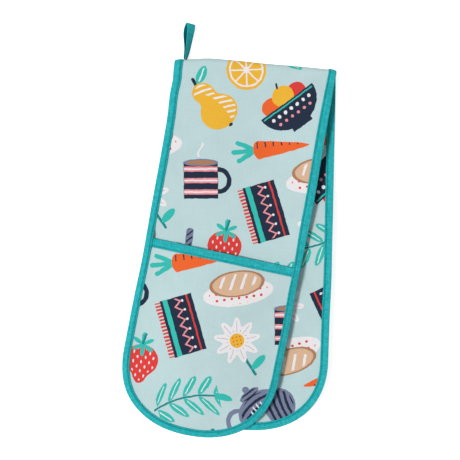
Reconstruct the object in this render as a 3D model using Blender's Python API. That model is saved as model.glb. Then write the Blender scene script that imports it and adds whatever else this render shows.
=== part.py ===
# A double oven glove, folded in two and lying flat: one quilted strip with a pocket at each end,
# taped all round, and a hanging loop at the fold. Metres, +Z up, +Y towards the fold.

import math
from types import SimpleNamespace

import bmesh
import bpy
from mathutils import Matrix, Vector

# The strip, measured over its edge binding
GLOVE_WIDTH = 0.1855
FRONT_LENGTH = 0.439
BACK_LENGTH = 0.429
END_DEPTH = 0.0865
END_SQUARENESS = 2.23
FAN_ANGLE = math.radians(4.57)

# The pockets, measured from the rounded ends
POCKET_LENGTH = 0.216
MOUTH_SLANT = math.radians(1.3)
POCKET_CAVITY = 0.006

# Cloth and wadding
CLOTH_THICKNESS = 0.0005
STRIP_WADDING = 0.0032
POCKET_WADDING = 0.0032
MOUTH_WADDING = 0.0020
EDGE_WADDING = 0.0010
PUFF_RUN = 0.024
CAVITY_RUN = 0.040
LAYER_GAP = 0.0003

# The tape that binds the edges and the mouths
TAPE_WIDTH = 0.0236
TAPE_THICKNESS = 0.0006
MOUTH_LIP = 0.0100
TAPE_SEAT = 0.0002
MOUTH_RAMP = 0.013

# How the glove lies
FOLD_INNER_RADIUS = 0.0015
FOLD_SEAM = 0.0003
HALVES_GAP = 0.0006
RISE_START_SHARE = 0.43
FRONT_RISE_LEAD = 0.020

# The fold's corner by the loop lies drawn out and down
CORNER_SPLAY = 0.0042
CORNER_DROP = 0.0052
CORNER_ACROSS = 0.038
CORNER_ALONG = 0.080

# The hanging loop
LOOP_WIDTH = 0.0102
LOOP_THICKNESS = 0.0012
LOOP_REACH = 0.0436
LOOP_EYE = 0.0119
LOOP_ROOT_INSET = 0.0116
LOOP_LEAN = math.radians(1.6)
LOOP_RISE = 0.0015
LOOP_TIP_TWIST = math.radians(12)
LOOP_ROOT_TWIST = math.radians(90)
LOOP_FULLNESS = 0.8
LOOP_TWIST_EASE = 2.0

# How finely the soft surfaces are stepped
STRAP_STEP_COUNT = 2
RISE_STEP_COUNT = 4
RAMP_STEP_COUNT = 3
FOLD_STEP_COUNT = 8
LOOP_STEP_COUNT = 36
WELD_DISTANCE = 0.00001

# Sizes that follow from those above
PAD_INSET = LAYER_GAP + TAPE_THICKNESS
PAD_HALF = GLOVE_WIDTH / 2 - PAD_INSET
PAD_DEPTH = END_DEPTH - PAD_INSET
QUILT_SKINS = 2 * CLOTH_THICKNESS + 2 * LAYER_GAP
EDGE_QUILT = QUILT_SKINS + EDGE_WADDING
EDGE_LIFT = PAD_INSET + TAPE_SEAT
STRAP_HEIGHT = QUILT_SKINS + STRIP_WADDING
POCKET_STACK = STRAP_HEIGHT + POCKET_CAVITY + QUILT_SKINS + POCKET_WADDING
STRIP_EDGE_TOP = EDGE_LIFT + EDGE_QUILT
STRAP_TAPE_TOP = STRIP_EDGE_TOP + PAD_INSET
STRAP_LIP = (TAPE_WIDTH - (STRAP_TAPE_TOP - TAPE_SEAT)) / 2 - PAD_INSET
FLAT_RIM = max(STRAP_LIP, MOUTH_LIP) + LAYER_GAP
FOLD_HEIGHT = STRAP_HEIGHT + FOLD_INNER_RADIUS
LOOP_EYE_HALF = (LOOP_EYE + LOOP_THICKNESS) / 2
LOOP_ROOT_HALF = (LOOP_THICKNESS + LAYER_GAP) / 2
RAMP_END = 2 * PAD_INSET
ROW_SKEW = PAD_HALF * (math.tan(FAN_ANGLE) + math.tan(MOUTH_SLANT))
FIRST_MOUTH = min(FRONT_LENGTH, BACK_LENGTH) - POCKET_LENGTH

TEAL = (0.010, 0.390, 0.370, 1.0)
AQUA = (0.500, 0.680, 0.700, 1.0)
CREAM = (0.800, 0.770, 0.690, 1.0)
WHITE = (0.850, 0.850, 0.830, 1.0)


def smooth(x):
    x = min(max(x, 0.0), 1.0)
    return x * x * (3 - 2 * x)


# The two halves of the strip. Place along a half is s, from the fold, and place across it is t.
# Height above a half's plain face, which lies against the other half, is n.


def make_half(name, length, side, fan, fold_level, pocket_level, rise_lead):
    rise_end = FIRST_MOUTH - RAMP_END - MOUTH_RAMP - ROW_SKEW - rise_lead
    return SimpleNamespace(
        name=name,
        side=side,
        fan=fan,
        mouth=length - POCKET_LENGTH,
        round_start=length - END_DEPTH,
        fold_level=fold_level,
        pocket_level=pocket_level,
        rise_start=rise_end * RISE_START_SHARE,
        rise_end=rise_end,
    )


BACK = make_half("back", BACK_LENGTH, -1, FAN_ANGLE, STRAP_HEIGHT, POCKET_STACK, 0.0)
FRONT = make_half(
    "front",
    FRONT_LENGTH,
    1,
    -FAN_ANGLE,
    STRAP_HEIGHT + 2 * FOLD_INNER_RADIUS,
    POCKET_STACK + HALVES_GAP,
    FRONT_RISE_LEAD,
)


def level(half, s):
    """Height of the plain face above the table, which climbs over the pocket beneath."""
    climb = smooth((s - half.rise_start) / (half.rise_end - half.rise_start))
    return half.fold_level + (half.pocket_level - half.fold_level) * climb


def lay_corner(x, y):
    across = 1 - smooth((x + GLOVE_WIDTH / 2) / CORNER_ACROSS)
    share = across * (1 - smooth(-y / CORNER_ALONG))
    return x - CORNER_SPLAY * share, y - CORNER_DROP * share


def world(half, t, s, n):
    x = t * math.cos(half.fan) + s * math.sin(half.fan)
    y = t * math.sin(half.fan) - s * math.cos(half.fan)
    return Vector((*lay_corner(x, y), level(half, s) + half.side * n))


def fold_line(half, t):
    return t * math.tan(half.fan) + FOLD_SEAM / 2 / math.cos(half.fan)


def mouth_line(half, t):
    return half.mouth + t * math.tan(MOUTH_SLANT)


def past_mouth(half, t, s):
    return s - mouth_line(half, t)


def edge_distance(half, t, s):
    """How far in from the pads' edge a point lies."""
    beyond = s - half.round_start
    if beyond <= 0:
        return PAD_HALF - abs(t)
    norm = (abs(t) / PAD_HALF) ** END_SQUARENESS + (beyond / PAD_DEPTH) ** END_SQUARENESS
    return math.hypot(t, beyond) * (norm ** (-1 / END_SQUARENESS) - 1)


# Heights of the layers above the plain face


def puff(distance):
    return smooth((distance - FLAT_RIM) / PUFF_RUN)


def plain_face(half, t, s):
    return EDGE_LIFT * (1 - puff(edge_distance(half, t, s)))


def strip_wadding(half, t, s):
    return EDGE_WADDING + (STRIP_WADDING - EDGE_WADDING) * puff(edge_distance(half, t, s))


def strip_top(half, t, s):
    return plain_face(half, t, s) + QUILT_SKINS + strip_wadding(half, t, s)


def cavity(half, t, s):
    """Room between strip and pocket: none at the edges but for the mouth tape's inner lip."""
    tape_room = PAD_INSET * (1 - puff(past_mouth(half, t, s)))
    least = LAYER_GAP + tape_room
    open_share = smooth((edge_distance(half, t, s) - FLAT_RIM) / CAVITY_RUN)
    return least + (POCKET_CAVITY - least) * open_share


def pocket_lining(half, t, s):
    return strip_top(half, t, s) + cavity(half, t, s)


def pocket_wadding(half, t, s):
    middle = MOUTH_WADDING + (POCKET_WADDING - MOUTH_WADDING) * puff(past_mouth(half, t, s))
    return EDGE_WADDING + (middle - EDGE_WADDING) * puff(edge_distance(half, t, s))


def pocket_top(half, t, s):
    return pocket_lining(half, t, s) + QUILT_SKINS + pocket_wadding(half, t, s)


# Rows and columns of the soft sheets, dense where the pads swell


def rings():
    return [0.0, FLAT_RIM, FLAT_RIM + PUFF_RUN / 2, FLAT_RIM + PUFF_RUN, FLAT_RIM + CAVITY_RUN]


def columns():
    left = [ring - PAD_HALF for ring in rings()]
    return left + [0.0] + [-t for t in reversed(left)]


def end_rows(half):
    return [half.round_start + PAD_DEPTH - ring for ring in reversed(rings())]


def mouth_rows(half):
    return [half.mouth + step for step in rings()[:4]]


def steps(start, end, count):
    return [start + (end - start) * i / count for i in range(count)]


def strap_rows(half):
    strap = steps(fold_line(half, 0.0), half.rise_start, STRAP_STEP_COUNT)
    return strap + steps(half.rise_start, half.rise_end, RISE_STEP_COUNT) + [half.rise_end]


def strip_rows(half):
    return strap_rows(half) + mouth_rows(half) + [half.round_start] + end_rows(half)


def pocket_rows(half):
    return mouth_rows(half) + [half.round_start] + end_rows(half)


def sheet_point(half, t, s, first_row):
    """Bends a square grid to the strip's outline: skewed at its first row, rounded at the end."""
    if s <= half.round_start:
        start, middle_start = first_row(half, t), first_row(half, 0.0)
        row_share = (s - middle_start) / (half.round_start - middle_start)
        return t, start + (half.round_start - start) * row_share
    u, a = t / PAD_HALF, (s - half.round_start) / PAD_DEPTH
    x, y = u * math.sqrt(1 - a * a / 2), a * math.sqrt(1 - u * u / 2)
    norm = (abs(x) ** END_SQUARENESS + y**END_SQUARENESS) ** (1 / END_SQUARENESS)
    bulge = math.hypot(x, y) / norm
    return PAD_HALF * x * bulge, half.round_start + PAD_DEPTH * y * bulge


# Making objects


def make_material(name, colour, roughness):
    material = bpy.data.materials.new(name)
    material.use_nodes = True
    shader = material.node_tree.nodes["Principled BSDF"]
    shader.inputs["Base Color"].default_value = colour
    shader.inputs["Roughness"].default_value = roughness
    shader.inputs["Metallic"].default_value = 0.0
    return material


def make_object(name, mesh, material, parent):
    mesh.materials.append(material)
    mesh.shade_smooth()
    mesh.set_sharp_from_angle(angle=math.radians(40))
    piece = bpy.data.objects.new(name, mesh)
    glove.objects.link(piece)
    piece.parent = parent
    piece.matrix_parent_inverse = Matrix.Translation(-parent.location)
    return piece


def make_empty(name, location, parent=None):
    empty = bpy.data.objects.new(name, None)
    glove.objects.link(empty)
    empty.location = location
    empty.parent = parent
    return empty


def grid_mesh(name, across, along, place, thick):
    """A grid shaped point by point. A thick one is drawn out into a sheet with two faces."""
    bm = bmesh.new()
    bmesh.ops.create_grid(bm, x_segments=across, y_segments=along, size=1.0)
    upper = set()
    if thick:
        drawn = bmesh.ops.extrude_face_region(bm, geom=list(bm.faces))
        upper = {part for part in drawn["geom"] if isinstance(part, bmesh.types.BMVert)}
    for vertex in bm.verts:
        i = round((vertex.co.x + 1) / 2 * across)
        j = round((vertex.co.y + 1) / 2 * along)
        vertex.co = place(i, j, vertex in upper)
    return bm


def finish_mesh(bm, name):
    bmesh.ops.recalc_face_normals(bm, faces=bm.faces)
    mesh = bpy.data.meshes.new(name)
    bm.to_mesh(mesh)
    bm.free()
    return mesh


def make_sheet(name, half, rows, first_row, lower, upper, material, parent):
    """One layer of cloth or wadding between two height functions."""
    across = columns()

    def place(i, j, is_upper):
        t, s = sheet_point(half, across[i], rows[j], first_row)
        height = upper if is_upper else lower
        return world(half, t, s, height(half, t, s))

    bm = grid_mesh(name, len(across) - 1, len(rows) - 1, place, True)
    return make_object(name, finish_mesh(bm, name), material, parent)


def make_tube(name, section_size, stations, place, material, parent):
    """A closed section carried through its stations, with its two ends capped."""

    def place_round(i, j, is_upper):
        return place(i % section_size, j)

    bm = grid_mesh(name, section_size, stations - 1, place_round, False)
    bmesh.ops.remove_doubles(bm, verts=bm.verts, dist=WELD_DISTANCE)
    bmesh.ops.holes_fill(bm, edges=[edge for edge in bm.edges if edge.is_boundary])
    return make_object(name, finish_mesh(bm, name), material, parent)


# The tape's section round an edge, as (distance in from the edge, height)


def tape_section(lip, low, high):
    """low and high are the faces of what the tape wraps, before its clearance."""
    inner_low, inner_high = low - LAYER_GAP, high + LAYER_GAP
    outer_low, outer_high = low - PAD_INSET, high + PAD_INSET
    round_off = (outer_high - outer_low) / 4
    shoulder = PAD_INSET * math.cos(math.radians(45))
    return [
        (lip, outer_low),
        (0.0, outer_low),
        (-shoulder, outer_low + round_off / 2),
        (-PAD_INSET, outer_low + round_off),
        (-PAD_INSET, outer_high - round_off),
        (-shoulder, outer_high - round_off / 2),
        (0.0, outer_high),
        (lip, outer_high),
        (lip, inner_high),
        (-LAYER_GAP, inner_high),
        (-LAYER_GAP, inner_low),
        (lip, inner_low),
    ]


SECTION_POINTS = len(tape_section(STRAP_LIP, 0.0, EDGE_QUILT))


def edge_stack_top(half, t, s):
    """Top of what the edge tape wraps: the strip, then the pocket, thickest over the mouth tape."""
    past = past_mouth(half, t, s)
    over_mouth = PAD_INSET * (1 - smooth((past - MOUTH_LIP - LAYER_GAP) / (PUFF_RUN / 2)))
    pocket_edge = LAYER_GAP + PAD_INSET * (1 - puff(past)) + EDGE_QUILT + over_mouth
    ramp = smooth((past + MOUTH_RAMP + RAMP_END) / MOUTH_RAMP)
    return STRIP_EDGE_TOP + pocket_edge * ramp


def tape_lip(low, high):
    wrapped = (high + PAD_INSET) - (low - PAD_INSET)
    return (TAPE_WIDTH - wrapped) / 2 - PAD_INSET


def rim_path(half):
    """Round the strip's edge in the sheets' own steps, as (column, row, the rows' start)."""
    ramp_end = half.mouth - RAMP_END
    ramp = steps(ramp_end - MOUTH_RAMP, ramp_end, RAMP_STEP_COUNT) + [ramp_end]
    side = [(row, fold_line) for row in strap_rows(half)]
    side += [(row, mouth_line) for row in ramp + pocket_rows(half)]
    left = [(-PAD_HALF, row, start) for row, start in side]
    end = [(t, half.round_start + PAD_DEPTH, mouth_line) for t in columns()[1:-1]]
    right = [(-t, row, start) for t, row, start in reversed(left)]
    return left + end + right


def outward(half, t, s):
    """The direction out of the strip's edge."""
    if s <= half.round_start:
        return Vector((math.copysign(1, t), 0))
    x, y = t / PAD_HALF, (s - half.round_start) / PAD_DEPTH
    slope_t = math.copysign(abs(x) ** (END_SQUARENESS - 1), x) / PAD_HALF
    return Vector((slope_t, y ** (END_SQUARENESS - 1) / PAD_DEPTH)).normalized()


def make_edge_tape(half, parent):
    path = rim_path(half)

    def place(i, j):
        column, row, start = path[j]
        edge = Vector(sheet_point(half, column, row, start))
        high = edge_stack_top(half, *edge)
        inward, n = tape_section(tape_lip(EDGE_LIFT, high), EDGE_LIFT, high)[i]
        t, s = edge - inward * outward(half, *edge)
        if row <= half.round_start:
            t, s = sheet_point(half, t, row, start)
        return world(half, t, s, n)

    name = half.name + "_edge_binding"
    return make_tube(name, SECTION_POINTS, len(path), place, teal_tape, parent)


def make_mouth_tape(half, parent):
    across = columns()

    def place(i, j):
        t = across[j]
        mouth = mouth_line(half, t)
        low = pocket_lining(half, t, mouth)
        inward, n = tape_section(MOUTH_LIP, low, pocket_top(half, t, mouth))[i]
        return world(half, t, mouth + inward, n)

    name = half.name + "_mouth_binding"
    return make_tube(name, SECTION_POINTS, len(across), place, teal_tape, parent)


def make_panel(half, kind, base, wadding, rows, first_row, faces, parent):
    """Three layers of one quilted panel: the face nearest the plain side, wadding, far face."""
    inner_name, outer_name = faces

    def inner_top(h, t, s):
        return base(h, t, s) + CLOTH_THICKNESS

    def wadding_low(h, t, s):
        return inner_top(h, t, s) + LAYER_GAP

    def wadding_top(h, t, s):
        return wadding_low(h, t, s) + wadding(h, t, s)

    def outer_low(h, t, s):
        return wadding_top(h, t, s) + LAYER_GAP

    def outer_top(h, t, s):
        return outer_low(h, t, s) + CLOTH_THICKNESS

    inner_cloth = printed_cotton if kind == "" else lining_cotton
    prefix = half.name + kind
    layers = [
        (prefix + inner_name, base, inner_top, inner_cloth),
        (prefix + "_wadding", wadding_low, wadding_top, polyester_wadding),
        (prefix + outer_name, outer_low, outer_top, printed_cotton),
    ]
    for name, low, high, material in layers:
        make_sheet(name, half, rows, first_row, low, high, material, parent)


def make_half_pieces(half, parent):
    strip = ("_inner_cloth", "_outer_cloth")
    pocket = ("_lining", "_cloth")
    rows = strip_rows(half)
    make_panel(half, "", plain_face, strip_wadding, rows, fold_line, strip, parent)
    rows = pocket_rows(half)
    make_panel(half, "_pocket", pocket_lining, pocket_wadding, rows, mouth_line, pocket, parent)
    make_edge_tape(half, parent)
    make_mouth_tape(half, parent)


# The bend at the fold, which joins the two halves


def bend_point(t, turn, n):
    radius = FOLD_INNER_RADIUS + n
    x, y = lay_corner(t / math.cos(FAN_ANGLE), FOLD_SEAM / 2)
    return Vector((x, y + radius * math.sin(turn), FOLD_HEIGHT - radius * math.cos(turn)))


def make_bend_layer(name, lower, upper, material, parent):
    across = columns()

    def place(i, j, is_upper):
        height = upper if is_upper else lower
        turn = math.pi * j / FOLD_STEP_COUNT
        return bend_point(across[i], turn, height(BACK, across[i], 0.0))

    bm = grid_mesh(name, len(across) - 1, FOLD_STEP_COUNT, place, True)
    return make_object(name, finish_mesh(bm, name), material, parent)


def make_bend_tape(name, hand, parent):
    section = tape_section(STRAP_LIP, EDGE_LIFT, STRIP_EDGE_TOP)

    def place(i, j):
        inward, n = section[i]
        return bend_point(hand * (PAD_HALF - inward), math.pi * j / FOLD_STEP_COUNT, n)

    return make_tube(name, SECTION_POINTS, FOLD_STEP_COUNT + 1, place, teal_tape, parent)


def make_bend(parent):
    def inner_top(half, t, s):
        return plain_face(half, t, s) + CLOTH_THICKNESS

    def wadding_low(half, t, s):
        return inner_top(half, t, s) + LAYER_GAP

    def wadding_top(half, t, s):
        return wadding_low(half, t, s) + strip_wadding(half, t, s)

    def outer_low(half, t, s):
        return wadding_top(half, t, s) + LAYER_GAP

    make_bend_layer("fold_inner_cloth", plain_face, inner_top, printed_cotton, parent)
    make_bend_layer("fold_wadding", wadding_low, wadding_top, polyester_wadding, parent)
    make_bend_layer("fold_outer_cloth", outer_low, strip_top, printed_cotton, parent)
    make_bend_tape("fold_left_binding", -1, parent)
    make_bend_tape("fold_right_binding", 1, parent)


# The hanging loop: one length of tape doubled back on itself, edge up at its root


def loop_root():
    t = LOOP_ROOT_INSET - GLOVE_WIDTH / 2
    apex = bend_point(t, math.pi / 2, strip_top(BACK, t - LOOP_THICKNESS, 0.0))
    return Vector((apex.x, apex.y + 2 * LAYER_GAP, FOLD_HEIGHT))


def loop_centre(root, share):
    """The tape's middle line at a share of its length, and its twist there."""
    turn = 2 * math.pi * share
    reach = (1 - math.cos(turn)) / 2
    spread = LOOP_EYE_HALF * math.sin(turn) * reach**LOOP_FULLNESS
    spread += LOOP_ROOT_HALF * math.cos(math.pi * share)
    twist = LOOP_TIP_TWIST + (LOOP_ROOT_TWIST - LOOP_TIP_TWIST) * (1 - reach) ** LOOP_TWIST_EASE
    outward = Vector((math.sin(twist), 0.0, math.cos(twist)))
    forward = Vector((math.sin(LOOP_LEAN), math.cos(LOOP_LEAN), 0.0)) * LOOP_REACH
    forward.z = LOOP_RISE
    return root + forward * reach + outward * spread, twist


def make_loop(root, parent):
    corners = [(-1, -1), (1, -1), (1, 1), (-1, 1)]

    def place(i, j):
        share = j / LOOP_STEP_COUNT
        nearby = 0.5 / LOOP_STEP_COUNT
        middle, twist = loop_centre(root, share)
        before = loop_centre(root, max(share - nearby, 0.0))[0]
        after = loop_centre(root, min(share + nearby, 1.0))[0]
        along = (after - before).normalized()
        face = along.cross(Vector((math.cos(twist), 0.0, -math.sin(twist)))).normalized()
        across = face.cross(along)
        side, depth = corners[i]
        return middle + across * (side * LOOP_WIDTH / 2) + face * (depth * LOOP_THICKNESS / 2)

    return make_tube("hanging_loop", len(corners), LOOP_STEP_COUNT + 1, place, teal_tape, parent)


def centre_on_table(base):
    """Moves the whole glove so that the middle of its outline on the table is at the origin."""
    bpy.context.view_layer.update()
    corners = [
        piece.matrix_world @ Vector(corner)
        for piece in glove.objects
        if piece.type == "MESH"
        for corner in piece.bound_box
    ]
    low = Vector(map(min, zip(*corners)))
    high = Vector(map(max, zip(*corners)))
    base.location = (-(low.x + high.x) / 2, -(low.y + high.y) / 2, 0.0)
    print("glove from", [round(v, 5) for v in low], "to", [round(v, 5) for v in high])
    print("moved by", [round(v, 6) for v in base.location])


for old in list(bpy.data.objects):
    bpy.data.objects.remove(old)

glove = bpy.data.collections.new("double_oven_glove")
bpy.context.scene.collection.children.link(glove)

printed_cotton = make_material("printed_cotton", AQUA, 0.85)
lining_cotton = make_material("lining_cotton", CREAM, 0.9)
polyester_wadding = make_material("polyester_wadding", WHITE, 0.95)
teal_tape = make_material("teal_tape", TEAL, 0.75)

bend_middle = FOLD_INNER_RADIUS + STRAP_HEIGHT / 2
fold_pivot = Vector((0.0, FOLD_SEAM / 2 + math.pi / 2 * bend_middle, FOLD_HEIGHT))
loop_pivot = loop_root()

glove_base = make_empty("glove_base", Vector((0.0, 0.0, 0.0)))
fold_axis = make_empty("fold_axis", fold_pivot, glove_base)
loop_axis = make_empty("loop_axis", loop_pivot, glove_base)

make_half_pieces(BACK, glove_base)
make_half_pieces(FRONT, fold_axis)
make_bend(glove_base)
make_loop(loop_pivot, loop_axis)
centre_on_table(glove_base)

print("fold pivot", [round(v, 6) for v in fold_pivot + glove_base.location])
print("loop pivot", [round(v, 6) for v in loop_pivot + glove_base.location])
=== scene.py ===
import math
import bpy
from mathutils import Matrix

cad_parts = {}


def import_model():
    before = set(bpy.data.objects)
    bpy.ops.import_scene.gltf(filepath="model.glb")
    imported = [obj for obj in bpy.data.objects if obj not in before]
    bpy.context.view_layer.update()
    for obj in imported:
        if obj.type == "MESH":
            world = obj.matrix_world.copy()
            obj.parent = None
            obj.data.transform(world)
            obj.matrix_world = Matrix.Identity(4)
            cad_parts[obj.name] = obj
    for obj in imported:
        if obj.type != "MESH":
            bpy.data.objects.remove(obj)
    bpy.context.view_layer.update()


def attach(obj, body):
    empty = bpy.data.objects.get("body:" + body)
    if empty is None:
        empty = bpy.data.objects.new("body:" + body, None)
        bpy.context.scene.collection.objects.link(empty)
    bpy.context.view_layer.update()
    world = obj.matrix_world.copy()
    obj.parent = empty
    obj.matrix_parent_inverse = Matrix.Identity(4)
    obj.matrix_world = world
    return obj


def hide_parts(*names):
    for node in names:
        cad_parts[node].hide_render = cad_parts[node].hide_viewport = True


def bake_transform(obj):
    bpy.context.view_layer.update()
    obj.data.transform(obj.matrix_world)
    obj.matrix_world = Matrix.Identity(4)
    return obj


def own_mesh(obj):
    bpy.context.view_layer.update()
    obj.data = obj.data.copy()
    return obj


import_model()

from types import SimpleNamespace

import bpy
import numpy as np
from mathutils import Vector

# Sizes in metres, the same as the part's own
strip = {
    "width": 0.1855, "frontLength": 0.439, "backLength": 0.429,
    "endDepth": 0.0865, "endSquareness": 2.23, "fan": math.radians(4.57),
    "centre": (0.000398, 0.195779),  # the middle of the fold
    "cloth": 0.0005, "wadding": 0.0032, "edgeWadding": 0.0010, "layerGap": 0.0003,
    "flatRim": 0.0090,  # cloth held flat under the binding
    "puffRun": 0.066, "rimTaper": 0.0055, "rimShare": 0.2,
    "cell": 0.0026, "hiddenCell": 0.0040, "waddingCell": 0.0060,
    "rimSamples": 1200, "areaSamples": 400, "sharpAngle": math.radians(50),
}
pocket = {
    "length": 0.216, "slant": math.radians(1.3), "wadding": 0.0032, "mouthWadding": 0.0020,
    "flatRim": 0.0078, "cavity": 0.0052, "cavityRun": 0.080, "crownTop": 0.45,
}
tape = {
    "width": 0.0236, "thickness": 0.0006, "mouthLip": 0.0100, "seat": 0.0002,
    "mouthRamp": 0.013, "rampPuff": 0.024, "station": 0.0024,
    "stitchInset": 0.0021, "groove": 0.00036, "grooveWidth": 0.0009, "threadSink": 0.55,
    "pucker": 0.00024, "puckerMean": 0.4, "slackFrom": 0.002, "slackTo": 0.003,
    "bevel": 0.00035, "bevelRun": 0.0006, "insideGapShare": 0.6,
    "rimPoints": 9, "rimSquareness": 2.4,
    "widerRight": 0.0011,  # sewn further in on the front half's right side
    "widerBack": 0.0006,  # and on the back half below its mouth
    "narrowing": 0.060,  # the lip narrows over this length towards the mouth
    "narrowShare": 0.42,
    # painted shade: a dark line along the stitching, shade in its groove together with the needle
    # holes, and a dark edge at the tape's lip
    "seamShade": 0.31, "mouthSeamShade": 0.15, "lipShade": 0.30, "lipShadeRun": 0.0007,
}
fold = {
    "innerRadius": 0.0015, "seam": 0.0003, "halvesGap": 0.0006,
    "turns": 23,  # odd, so that no row of points lies on the crease
    "crease": 0.00005, "riseShare": 0.43, "frontLead": 0.020,
    "fade": 0.045,  # cloth stays plain this near the fold
    "square": 0.06,  # and the tape's rows turn to run along the fold
    "cornerRound": 0.16, "cornerRun": 0.0024, "tapePlan": 0.005,
}
# the corner by the loop lies drawn out and down, and the other end of the fold a little up
corner = {
    "splay": 0.0058, "drop": 0.0056, "across": 0.038, "along": 0.080,
    "lift": 0.0024, "liftAcross": 0.080, "liftAlong": 0.100,
}
# each half's edges lie a little crooked: where along it, how far that spreads, how far sideways
sways = {
    "left": {
        "front": (
            (0.025, 0.016, 0.0017), (0.070, 0.050, -0.0014),
            (0.240, 0.040, 0.0012), (0.405, 0.022, -0.0009),
        ),
        "back": (),
    },
    "right": {
        "front": ((0.150, 0.075, 0.0015), (0.300, 0.035, 0.0009)),
        "back": ((0.080, 0.060, 0.0007), (0.180, 0.110, 0.0007), (0.245, 0.035, 0.0007)),
    },
    "start": 0.03,
    "longer": {"front": (0.0014, 0.0014), "back": (-0.0030, 0.0008)},  # left and right of its end
    "endStart": 0.30, "endRun": 0.12,
}
# the front half's right side stands up off the back half below the fold
curl = {
    "height": 0.0072, "start": 0.030, "middle": 0.080, "spread": 0.095, "across": 0.075,
    "least": 0.38,
}
# gathers along a seam; each wave has its size, its length, its share of the phase and its start
puckers = {
    "height": 0.00034, "start": 0.0006, "rise": 0.0030, "decay": 0.0075,
    "mean": 0.42, "broadMean": 0.65, "innerShare": 0.8, "bareFrom": 0.010, "bareRun": 0.006,
    "waves": ((0.30, 0.0083, 1.0, 0.0), (0.28, 0.0117, 1.7, 1.0), (0.35, 0.0510, 2.3, 0.0)),
    "mouthFrom": 0.5,  # the waves along a mouth are counted from this far to the left
    # where the waves of each piece start
    "innerCloth": 4.0, "outerCloth": 0.0, "pocketCloth": 1.3, "mouthAfter": 2.0,
    "edgeTape": 3.0, "mouthTape": 5.0,
}

gapAndTape = strip["layerGap"] + tape["thickness"]
padHalf = strip["width"] / 2 - gapAndTape
padDepth = strip["endDepth"] - gapAndTape
quiltSkins = 2 * strip["cloth"] + 2 * strip["layerGap"]
edgeLift = gapAndTape + tape["seat"]
strapHeight = quiltSkins + strip["wadding"]
pocketStack = strapHeight + pocket["cavity"] + quiltSkins + pocket["wadding"]
foldHeight = strapHeight + fold["innerRadius"]
rowSkew = padHalf * (math.tan(strip["fan"]) + math.tan(pocket["slant"]))
firstMouth = min(strip["frontLength"], strip["backLength"]) - pocket["length"]


def smooth(x):
    x = np.clip(x, 0.0, 1.0)
    return x * x * (3 - 2 * x)


def hump(away, spread):
    return np.exp(-((away / spread) ** 2))


# The two halves: s runs from the fold, t across, and n is the height above the plain face
def makeHalf(name, length, side, fan, foldLevel, pocketLevel, lead, phase):
    riseEnd = firstMouth - 2 * gapAndTape - tape["mouthRamp"] - rowSkew - lead
    return SimpleNamespace(
        name=name, body=name + "_half", side=side, fan=fan, phase=phase,
        mouth=length - pocket["length"], roundStart=length - strip["endDepth"],
        foldLevel=foldLevel, pocketLevel=pocketLevel,
        riseStart=riseEnd * fold["riseShare"], riseEnd=riseEnd, swell={},
    )


back = makeHalf("back", strip["backLength"], -1, strip["fan"], strapHeight, pocketStack, 0.0, 0.0)
front = makeHalf(
    "front", strip["frontLength"], 1, -strip["fan"], strapHeight + 2 * fold["innerRadius"],
    pocketStack + fold["halvesGap"], fold["frontLead"], 2.1,
)


def level(half, s):
    climb = smooth((s - half.riseStart) / (half.riseEnd - half.riseStart))
    return half.foldLevel + (half.pocketLevel - half.foldLevel) * climb


def layCorner(x, y):
    share = 1 - smooth((x + strip["width"] / 2) / corner["across"])
    share = share * (1 - smooth(-y / corner["along"]))
    lift = corner["lift"] * smooth(x / corner["liftAcross"])
    lift = lift * (1 - smooth(-y / corner["liftAlong"]))
    return x - corner["splay"] * share, y - corner["drop"] * share + lift


def placed(x, y, z):
    x, y, z = np.broadcast_arrays(x + strip["centre"][0], y + strip["centre"][1], z)
    return np.stack([x, y, z], axis=-1)


def sway(half, t, s):
    share = np.clip(t / strip["width"] + 0.5, 0, 1)
    left, right = (
        sum([far * hump(s - where, spread) for where, spread, far in sways[side][half.name]], 0 * s)
        for side in ("left", "right")
    )
    across = (left * (1 - share) + right * share) * smooth(s / sways["start"])
    left, right = sways["longer"][half.name]
    along = (left * (1 - share) + right * share) * smooth((s - sways["endStart"]) / sways["endRun"])
    return t + across, s + along


def curled(half, t, s):
    side = smooth((t - strip["width"] / 2) / curl["across"] + 1)
    along = curl["least"] + (1 - curl["least"]) * hump(s - curl["middle"], curl["spread"])
    return curl["height"] * (half is front) * side * along * smooth(s / curl["start"])


def world(half, t, s, n):
    n = n + curled(half, t, s)
    t, s = sway(half, t, s)
    x = t * math.cos(half.fan) + s * math.sin(half.fan)
    y = t * math.sin(half.fan) - s * math.cos(half.fan)
    return placed(*layCorner(x, y), level(half, s) + half.side * n)


def foldLine(half, t):
    return t * math.tan(half.fan) + fold["seam"] / 2 / math.cos(half.fan)


def mouthLine(half, t):
    return half.mouth + t * math.tan(pocket["slant"])


def pastFold(half, t, s):
    # 0 at the fold, and 1 from where the cloth is no longer plain
    return smooth((s - foldLine(half, t)) / fold["fade"])


def pastMouth(half, t, s):
    return s - mouthLine(half, t)


def edgeDistance(half, t, s):
    beyond = np.maximum(s - half.roundStart, 0.0)
    power = strip["endSquareness"]
    norm = (np.abs(t) / padHalf) ** power + (beyond / padDepth) ** power
    radial = np.hypot(t, beyond) * (np.maximum(norm, 1e-12) ** (-1 / power) - 1)
    return np.where(beyond > 0, radial, padHalf - np.abs(t))


def alongEdge(half, t, s):
    # length round the edge, which grows from the left of the fold to its right
    beyond = np.maximum(s - half.roundStart, 0.0)
    turn = np.arctan2(beyond, np.maximum(np.abs(t), 1e-6)) * padDepth
    oneSide = np.where(beyond > 0, half.roundStart + turn, s)
    whole = 2 * (half.roundStart + math.pi / 2 * padDepth)
    return np.where(t < 0, oneSide, whole - oneSide)


# Heights of the layers
def puff(half, t, s, rim):
    return smooth((edgeDistance(half, t, s) - rim) / strip["puffRun"])


def rimTaper(distance):
    return strip["rimShare"] + (1 - strip["rimShare"]) * smooth(distance / strip["rimTaper"])


def plainFace(half, t, s):
    return edgeLift * (1 - puff(half, t, s, strip["flatRim"]))


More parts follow.
